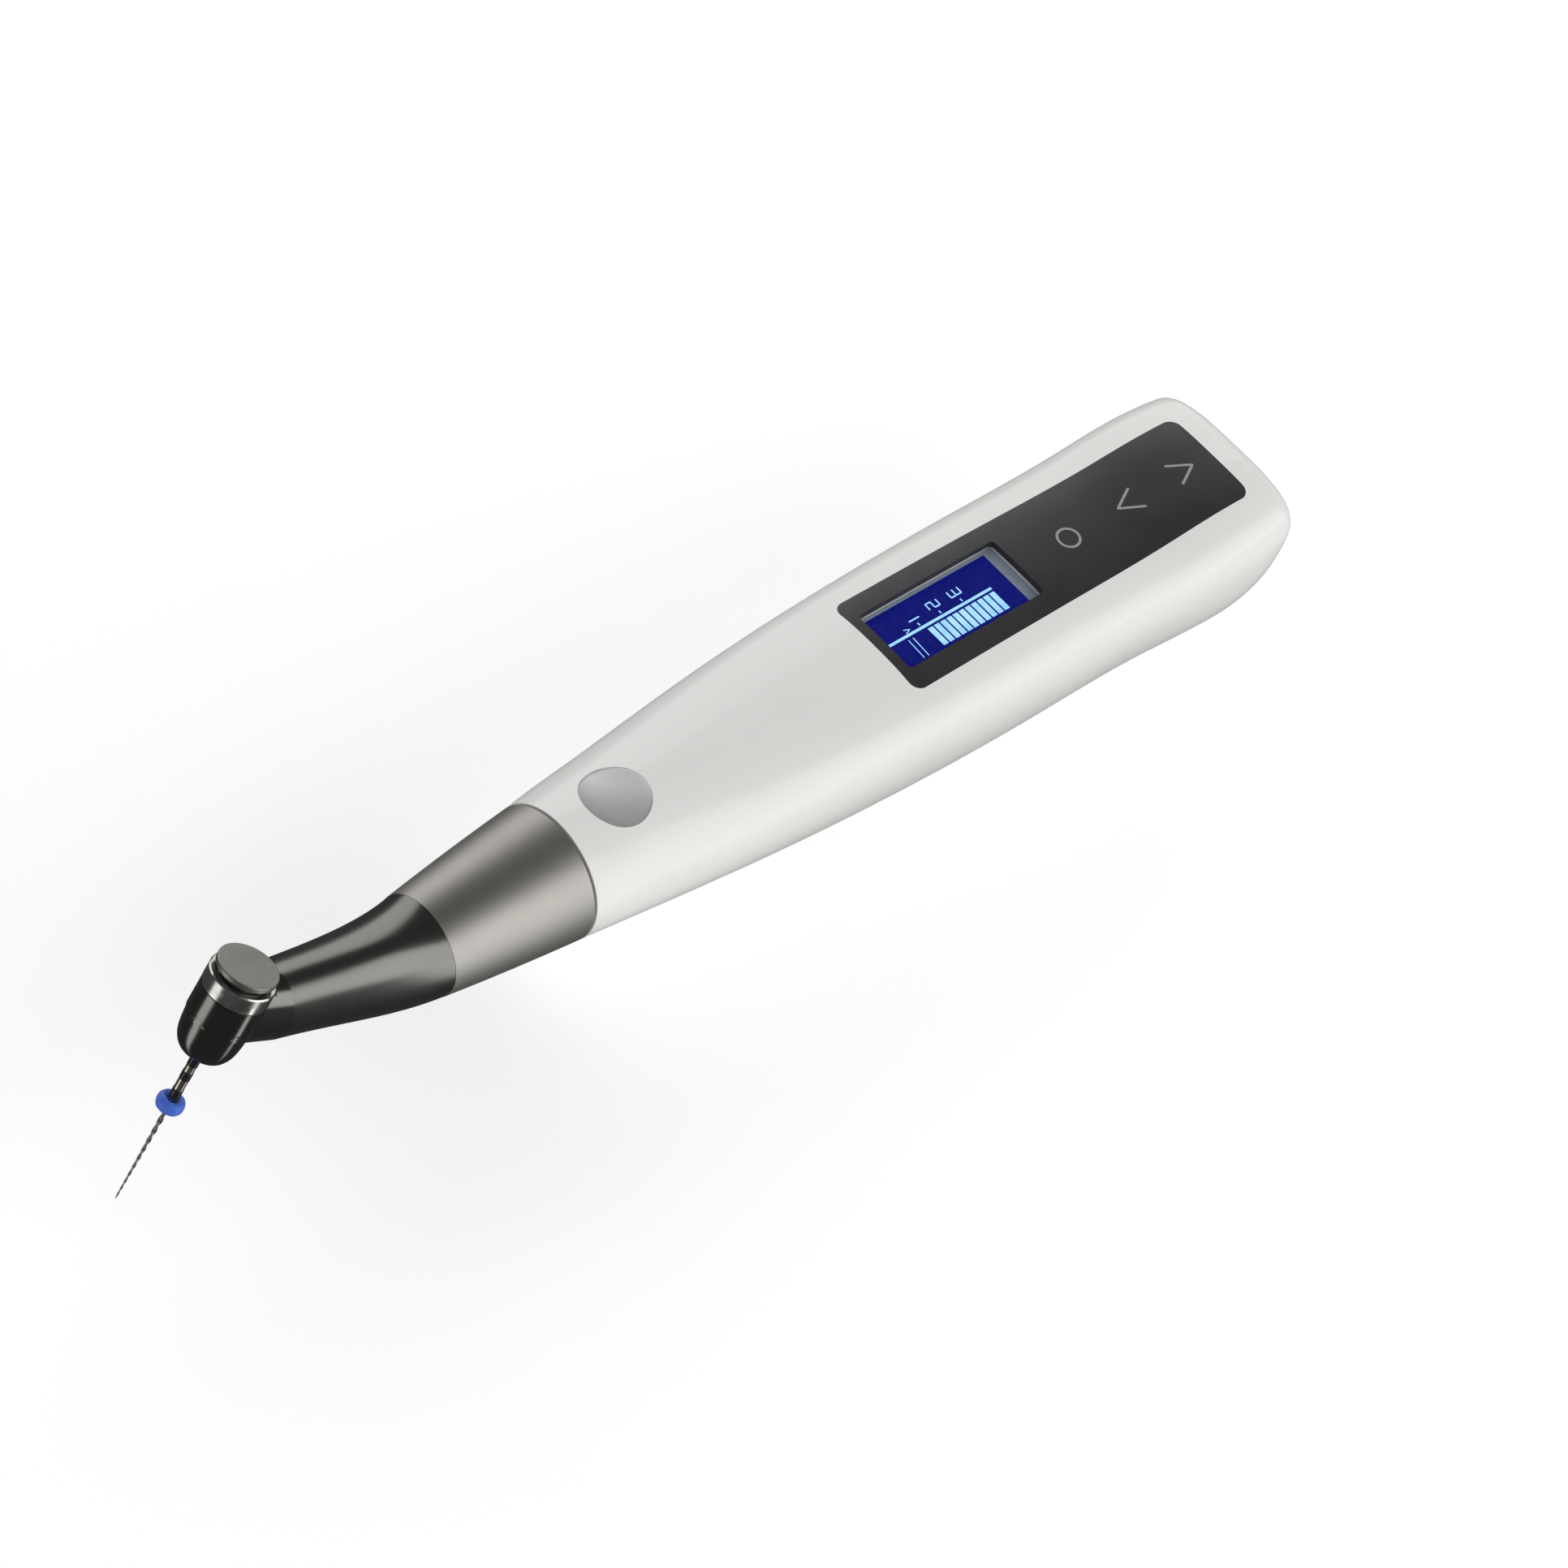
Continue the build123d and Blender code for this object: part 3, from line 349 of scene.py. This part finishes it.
def strokes(name, lines, width, tree, lift, material, body):
    """Lines printed on a surface: flat strips dropped onto it from above, in nose millimetres."""
    points, faces = [], []
    for line in lines:
        path = []
        for (x0, y0), (x1, y1) in zip(line, line[1:]):
            steps = max(1, int(sqrt((x1 - x0) ** 2 + (y1 - y0) ** 2) / 0.25))
            path += [(x0 + (x1 - x0) * i / steps, y0 + (y1 - y0) * i / steps)
                     for i in range(steps)]
        path.append(line[-1])
        first = len(points)
        for i, (x, y) in enumerate(path):
            before, after = path[max(i - 1, 0)], path[min(i + 1, len(path) - 1)]
            along = Vector((after[0] - before[0], after[1] - before[1])).normalized()
            for side in (-0.5, 0.5):
                spot = nose(x - along.y * width * side, y + along.x * width * side, ABOVE)
                hit = tree.ray_cast(spot, DOWN)[0]
                points.append(hit + Vector((0, 0, lift * MM)))
        faces += [tuple(first + k for k in face) for face in rows_to_faces(len(path), 2, False)]
    faces = [face[::-1] for face in faces]
    return piece(name, points, faces, material, body)


def arc(x, y, radius, start, end, steps=40):
    """Points along an arc, from one angle in degrees to another."""
    turns = [radians(start + (end - start) * i / steps) for i in range(steps + 1)]
    return [(x + radius * cos(t), y + radius * sin(t)) for t in turns]


def evened(name, node, body, reach_mm, neighbours=48):
    """A copy of a CAD skin whose shading normals come from a curved fit to the points nearby."""
    mesh = nodes[node].data.copy()
    count, reach = len(mesh.vertices), reach_mm * MM
    places = np.empty(count * 3)
    mesh.vertices.foreach_get("co", places)
    places = places.reshape(-1, 3)
    corners = np.empty(len(mesh.loops) * 3)
    mesh.corner_normals.foreach_get("vector", corners)
    owners = np.empty(len(mesh.loops), dtype=np.int64)
    mesh.loops.foreach_get("vertex_index", owners)
    normals = np.zeros((count, 3))
    normals[owners] = corners.reshape(-1, 3)
    tree = KDTree(count)
    for i, place in enumerate(places):
        tree.insert(place, i)
    tree.balance()
    near = np.array([[hit[1] for hit in tree.find_n(place, neighbours)] for place in places])
    offset = places[near] - places[:, None]
    gap = np.linalg.norm(offset, axis=2)
    height = np.einsum("nkc,nc->nk", offset, normals)
    agree = np.einsum("nkc,nc->nk", normals[near], normals) > 0.9
    weight = (agree & (np.abs(height) < 0.25 * gap + 2e-5)) * np.exp(-(gap / reach) ** 2)
    aside = np.where(np.abs(normals[:, :1]) < 0.8, [[1.0, 0, 0]], [[0, 1.0, 0]])
    first = np.cross(normals, aside)
    first /= np.linalg.norm(first, axis=1)[:, None] + 1e-12
    second = np.cross(normals, first)
    u = np.einsum("nkc,nc->nk", offset, first) / reach
    v = np.einsum("nkc,nc->nk", offset, second) / reach
    terms = np.stack([np.ones_like(u), u, v, u * u, u * v, v * v], axis=2)
    steadying = np.diag([1e-6, 1e-3, 1e-3, 3e-3, 3e-3, 3e-3])
    left = np.einsum("nki,nk,nkj->nij", terms, weight, terms) + steadying
    right = np.einsum("nki,nk->ni", terms, weight * height / reach)
    fit = np.linalg.solve(left, right[:, :, None])[:, :, 0]
    better = normals - fit[:, 1:2] * first - fit[:, 2:3] * second
    better /= np.linalg.norm(better, axis=1)[:, None] + 1e-12
    turned = np.einsum("nc,nc->n", better, normals) < cos(radians(20))
    better[turned] = normals[turned]
    mesh.normals_split_custom_set_from_vertices([tuple(n) for n in better])
    made = bpy.data.objects.new(name, mesh)
    bpy.context.scene.collection.objects.link(made)
    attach(made, body)
    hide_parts(node)


for skin, skin_body, reach in (
    ("housing_shell", "handpiece", 2.5), ("belly_cover", "handpiece", 2.5),
    ("control_panel", "handpiece", 2.5), ("sleeve", "contra_angle", 2.0),
    ("head_housing", "contra_angle", 1.0),
):
    evened(skin + "_skin", skin, skin_body, reach)

PANEL = surface_of("control_panel")
SCREEN = surface_of("display_module")


def printed(name, lines):
    strokes(name, lines, PRINT_WIDTH, PANEL, PRINT_LIFT, INK, "handpiece")


def lit(name, lines, width):
    strokes(name, lines, width, SCREEN, PRINT_LIFT, MARKS, "handpiece")


printed("ring_symbol", [arc(100.4, -0.1, 1.75, 0, 360)])
printed("chevron_down", [[(114.7, 2.0), (110.7, 0), (114.7, -2.0)]])
printed("chevron_up", [[(122.2, 2.0), (126.2, 0), (122.2, -2.0)]])


# Seven-segment figures: x runs up the figure, y runs across it, towards the camera's left.
SEGMENTS = {
    "top": [(1, 0.5), (1, -0.5)], "middle": [(0, 0.5), (0, -0.5)],
    "bottom": [(-1, 0.5), (-1, -0.5)],
    "upper_left": [(1, 0.5), (0, 0.5)], "upper_right": [(1, -0.5), (0, -0.5)],
    "lower_left": [(0, 0.5), (-1, 0.5)], "lower_right": [(0, -0.5), (-1, -0.5)],
}
FIGURES = {
    1: ["upper_right", "lower_right"],
    2: ["top", "upper_right", "middle", "lower_left", "bottom"],
    3: ["top", "upper_right", "middle", "lower_right", "bottom"],
}


def display_figures():
    """The scale's three figures, each with the short tick beside it."""
    lines = []
    for figure, x in ((1, 71.0), (2, 75.3), (3, 79.6)):
        for segment in FIGURES[figure]:
            lines.append([(x + a, 2.2 + 1.15 * b) for a, b in SEGMENTS[segment]])
        lines.append([(x, 0.85), (x, 0.3)])
    return lines


BARS_FROM, BAR_PITCH, BARS = 72.0, 1.24, 11
bar_places = [BARS_FROM + BAR_PITCH * i for i in range(BARS)]
lit("display_digits", display_figures(), 0.24)
lit("display_scale", [[(64.4, -0.18), (85.0, -0.18)]], 0.46)
lit("display_bars", [[(x, -0.8), (x, -4.4)] for x in bar_places], 0.96)
lit("display_apex", [[(68.5, -0.9), (68.3, -4.6)], [(67.6, -0.9), (67.4, -4.6)],
                     [(68.2, 0.9), (69.2, 0.55), (68.2, 0.2)]], 0.16)


def dished_button():
    """The power button: a soft-edged round key with a shallow dish in its top."""
    shell = surface_of("housing_shell")
    ring, rings, depth = 96, 18, 1.9
    # radius, and drop below the shell's surface round the button
    profile = [(5.2 * i / rings, 0.02 + depth * (1 - (i / rings) ** 2) ** 1.1)
               for i in range(rings + 1)]
    profile += [(5.28, 0.02), (5.32, 0.06), (BUTTON_RADIUS, 0.15), (BUTTON_RADIUS, 1.2),
                (BUTTON_RADIUS, 2.2)]
    rims = []
    for j in range(ring):
        turn = 2 * pi * j / ring
        spot = nose(BUTTON_X + (BUTTON_RADIUS + 0.6) * cos(turn),
                    (BUTTON_RADIUS + 0.6) * sin(turn), ABOVE)
        rims.append(shell.ray_cast(spot, DOWN)[0].z)
    middle = sum(rims) / ring
    points = []
    for r, drop in profile:
        share = min(1.0, r / BUTTON_RADIUS)
        for j in range(ring):
            turn = 2 * pi * j / ring
            spot = nose(BUTTON_X + r * cos(turn), r * sin(turn), 0)
            height = middle + (rims[j] - middle) * share ** 2 - drop * MM
            points.append(Vector((spot.x, spot.y, height)))
    faces = [face[::-1] for face in rows_to_faces(len(profile), ring, True)]
    piece("button_dish", points, faces, MATERIALS["button_grey"], "power_button",
          replaced=("power_button",))


def fluted_blade():
    """The working part of the file: a smooth neck, then a twisted, tapering pair of flutes."""
    ring, rows = 28, 420
    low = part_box("file_blade")[0]
    end = -(HEAD_POINT.z - low.z) / (MM * cos(BEND)) + 0.05
    points, twist = [], 0.0
    for i in range(rows + 1):
        t = i / rows
        up = BLADE_TOP + (end - BLADE_TOP) * t
        radius = (BLADE_THICK + (BLADE_THIN - BLADE_THICK) * t) * 0.985
        cut = min(1.0, max(0.0, (t - 0.13) / 0.05))     # the flutes fade in below the neck
        twist += (abs(end - BLADE_TOP) / rows) / (2.2 - t) * pi * cut
        for j in range(ring):
            turn = 2 * pi * j / ring
            lobe = 0.5 + 0.5 * cos(2 * (turn - twist))
            r = radius * (1 - 0.55 * cut * (1 - lobe ** 0.8))
            points.append(head(r * cos(turn), r * sin(turn), up))
    tip = len(points)
    points.append(head(0, 0, end - 0.04))
    faces = rows_to_faces(rows + 1, ring, True)
    faces += [(rows * ring + j, rows * ring + (j + 1) % ring, tip) for j in range(ring)]
    piece("fluted_blade", points, faces, MATERIALS["file_steel"], "file",
          replaced=("file_blade",))


def moulded_stopper():
    """The silicone stopper: a rounded puck with eight faint flats and a dimple round its hole."""
    low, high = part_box("stopper")
    middle = (Vector(low) + Vector(high)) / 2 - HEAD_POINT
    place = middle.dot(HEAD_UP) / MM
    dimple = [(0.5, 0.3), (0.62, 0.5), (0.95, 0.62), (1.12, 0.86), (1.25, 1.0), (1.45, 1.04)]
    side = [(1.65, 1.0), (1.85, 0.88), (2.0, 0.66), (2.07, 0.36), (2.09, 0.0), (2.07, -0.36),
            (2.0, -0.66), (1.85, -0.88)]
    underside = [(1.6, -1.01), (1.2, -1.05), (0.7, -1.05), (0.5, -1.0)]
    profile = dimple + side + underside
    ring, points = 96, []
    for r, up in profile:
        for j in range(ring):
            turn = 2 * pi * j / ring
            flat = 1 - 0.022 * (0.5 + 0.5 * cos(8 * turn)) * min(1.0, r / 2.0)
            points.append(head(r * flat * cos(turn), r * flat * sin(turn), place + up))
    faces = rows_to_faces(len(profile), ring, True)
    piece("moulded_stopper", points, faces, MATERIALS["stopper_blue"], "stopper",
          replaced=("stopper",))


def polished_neck():
    """The neck's skin: round sections along one curve from the sleeve's tip to the head."""
    ring, rows = 128, 120
    seam, drop = 8.9, 1.05
    start = Vector((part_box("sleeve")[0][0] - 0.02 * MM, 0, AXIS_Z))
    end = head(seam + 0.02, 0, -drop)
    hold_start = start + Vector((-7.6 * MM, 0, 0))
    hold_end = head(seam + 12.5, 0, -drop + 0.2)
    tip_radius, seam_radius = 7.95, 5.42
    tip_taper, seam_taper = 0.10, 0.045       # how fast the radius shrinks at each end
    length = (end - start).length / MM
    points = []
    for i in range(rows + 1):
        t = i / rows
        u = 1 - t
        middle = (start * u ** 3 + hold_start * 3 * u * u * t + hold_end * 3 * u * t * t
                  + end * t ** 3)
        ahead = ((hold_start - start) * u * u + (hold_end - hold_start) * 2 * u * t
                 + (end - hold_end) * t * t).normalized()
        up = Vector((0, 1, 0)).cross(ahead)
        radius = (tip_radius * (2 * t ** 3 - 3 * t * t + 1) + seam_radius * (3 * t * t - 2 * t ** 3)
                  - tip_taper * length * (t ** 3 - 2 * t * t + t)
                  - seam_taper * length * (t ** 3 - t * t))
        for j in range(ring):
            turn = 2 * pi * j / ring
            points.append(middle + (Vector((0, cos(turn), 0)) + up * sin(turn)) * radius * MM)
    faces = rows_to_faces(rows + 1, ring, True)
    piece("polished_neck", points, faces, NECK_CHROME, "contra_angle",
          replaced=("neck_shell",))


polished_neck()
dished_button()
fluted_blade()
moulded_stopper()

# ---- Light, floor and camera ---------------------------------------------------------
def pale_floor():
    """White paper that glows a little, so that the object's shadow on it stays faint."""
    m = Shader("floor_paper").set(IOR=1.3, Emission_Strength=0.25, Emission_Color=(1, 1, 1))
    return m.finish(tinted(m, (0.93, 0.93, 0.93), 0.004, 3.0), m.spread(m.noise(40.0), 0.85, 0.95),
                    m.bump(m.noise(900.0), 0.02, 0.0002))


def make_floor():
    bm = bmesh.new()
    bmesh.ops.create_grid(bm, x_segments=8, y_segments=8, size=6.0)
    mesh = bpy.data.meshes.new("floor")
    bm.to_mesh(mesh)
    bm.free()
    mesh.materials.append(pale_floor())
    floor = bpy.data.objects.new("floor", mesh)
    bpy.context.scene.collection.objects.link(floor)
    floor.visible_glossy = False


def softbox(name, place, power):
    """A warm rectangular light that faces the middle of the object."""
    target, width, height, colour = (-0.02, 0, 0.02), 1.9, 0.95, (1.0, 0.99, 0.975)
    light = bpy.data.lights.new(name, "AREA")
    light.shape = "RECTANGLE"
    light.size, light.size_y = width, height
    light.energy = power
    light.color = colour
    lamp = bpy.data.objects.new(name, light)
    bpy.context.scene.collection.objects.link(lamp)
    lamp.location = place
    lamp.rotation_mode = "QUATERNION"
    lamp.rotation_quaternion = (Vector(target) - Vector(place)).to_track_quat("-Z", "Y")


def make_world():
    """White surroundings; glossy rays see a dark studio with two upright light panels low in it."""
    world = bpy.data.worlds.new("studio")
    bpy.context.scene.world = world
    world.use_nodes = True
    tree = world.node_tree

    def maths(kind, *values, clamp=False):
        node = tree.nodes.new("ShaderNodeMath")
        node.operation, node.use_clamp = kind, clamp
        for socket, value in zip(node.inputs, values):
            if isinstance(value, (int, float)):
                socket.default_value = value
            else:
                tree.links.new(value, socket)
        return node.outputs[0]

    around = tree.nodes.new("ShaderNodeTexCoord").outputs["Generated"]
    split = tree.nodes.new("ShaderNodeSeparateXYZ")
    tree.links.new(around, split.inputs[0])
    x, y, z = split.outputs

    def upright_panel(azimuth, half_width, brightness):
        turn = radians(azimuth)
        facing = maths("ADD", maths("MULTIPLY", x, cos(turn)), maths("MULTIPLY", y, sin(turn)))
        across = maths("SUBTRACT", maths("MULTIPLY", y, cos(turn)), maths("MULTIPLY", x, sin(turn)))
        aside = maths("ABSOLUTE", across)
        width = maths("MULTIPLY", maths("ADD", z, 0.95), half_width)
        inside = maths("MULTIPLY", maths("SUBTRACT", width, aside), 9.0, clamp=True)
        front = maths("GREATER_THAN", facing, 0.0)
        low = maths("LESS_THAN", z, 0.05)
        seen = maths("MULTIPLY", maths("MULTIPLY", inside, front), low)
        return maths("MULTIPLY", seen, brightness)

    panels = maths("ADD", upright_panel(158, 0.40, 1.2), upright_panel(282, 0.46, 1.5))
    gloss = maths("ADD", panels, 0.06)
    rays = tree.nodes.new("ShaderNodeLightPath").outputs["Is Glossy Ray"]
    rest = maths("MULTIPLY", maths("SUBTRACT", 1.0, rays), 0.57)
    mixed = maths("ADD", maths("MULTIPLY", rays, gloss), rest)
    back = tree.nodes["Background"]
    back.inputs["Color"].default_value = (1, 1, 1, 1)
    tree.links.new(mixed, back.inputs["Strength"])


def make_camera():
    data = bpy.data.cameras.new("camera")
    data.lens, data.sensor_width = 196.8, 36.0
    data.clip_start, data.clip_end = 0.05, 30.0
    camera = bpy.data.objects.new("camera", data)
    bpy.context.scene.collection.objects.link(camera)
    place, target = Vector((-0.7232, -0.4498, 0.9386)), Vector((-0.0627, -0.0138, 0.0366))
    roll = Quaternion((0, 0, 1), radians(18.7))
    camera.location = place
    camera.rotation_mode = "QUATERNION"
    camera.rotation_quaternion = (target - place).to_track_quat("-Z", "Y") @ roll
    bpy.context.scene.camera = camera


make_floor()
make_world()
make_camera()
softbox("near_softbox", (0.45, -1.0, 0.52), 8.5)
softbox("far_softbox", (0.45, 1.0, 0.52), 6.5)
bpy.context.scene.view_settings.view_transform = "Standard"
